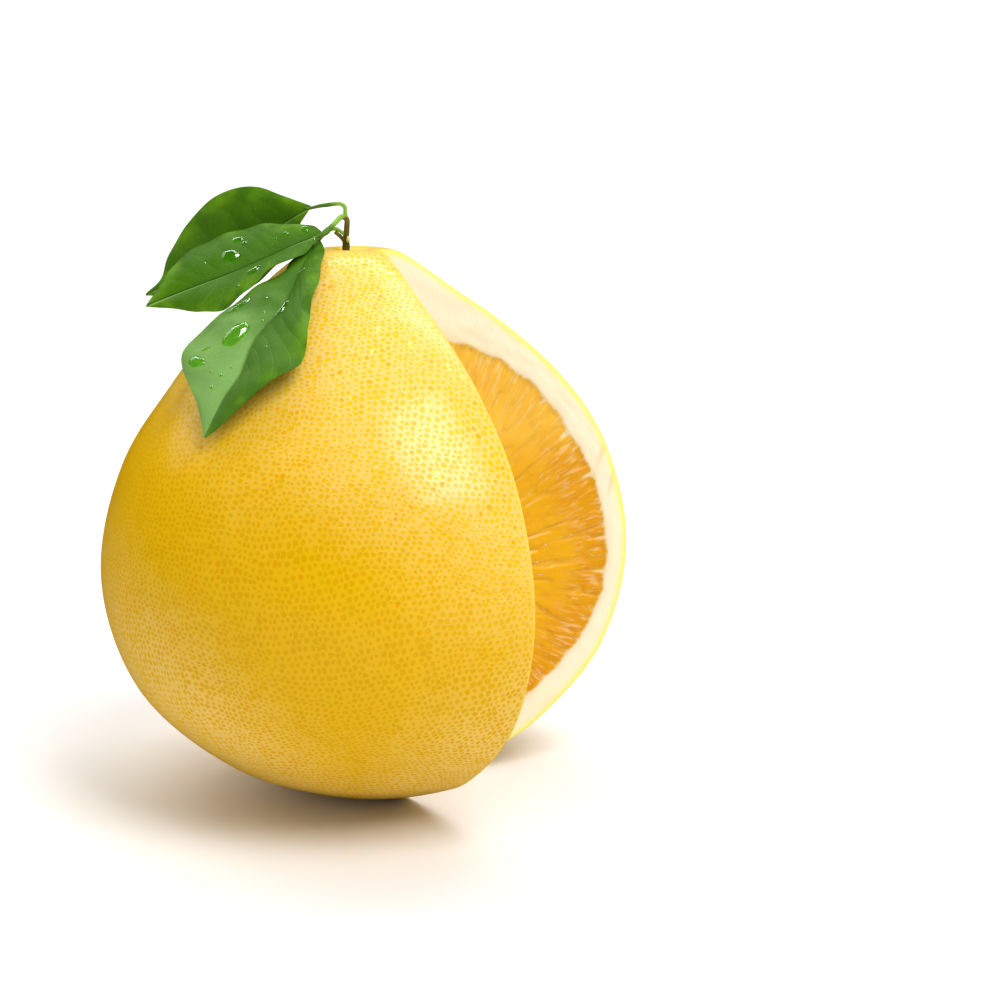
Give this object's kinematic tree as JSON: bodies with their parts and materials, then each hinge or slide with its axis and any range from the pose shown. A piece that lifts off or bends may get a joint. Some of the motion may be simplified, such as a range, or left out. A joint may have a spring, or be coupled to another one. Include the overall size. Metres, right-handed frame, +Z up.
{
  "type": "pomelo with a wedge cut out",
  "caption": "Pear-shaped yellow pomelo resting on its base, with a wedge cut out to show white pith and golden juice sacs, and a leafy twig on top.",
  "frame": {"origin": "middle of the small flat spot at the bottom that the fruit rests on, on the fruit's own axis", "axes": "+Z up through the neck; the cut-out wedge opens towards +X and -Y, and the leaves hang towards -X"},
  "size_m": [0.1596, 0.1625, 0.1802],
  "materials": {
    "rind": "waxy yellow skin with oil-gland dots, satin; matte cream pith where it is cut",
    "flesh": "wet golden juice sacs",
    "twig": "young olive-brown bark, matte",
    "leaf": "smooth leathery green leaf, satin"
  },
  "bodies": {
    "root": {"rind": "rind", "flesh": "flesh", "stem": "twig", "leaf_back": "leaf", "leaf_middle": "leaf", "leaf_front": "leaf"}
  },
  "joints": []
}
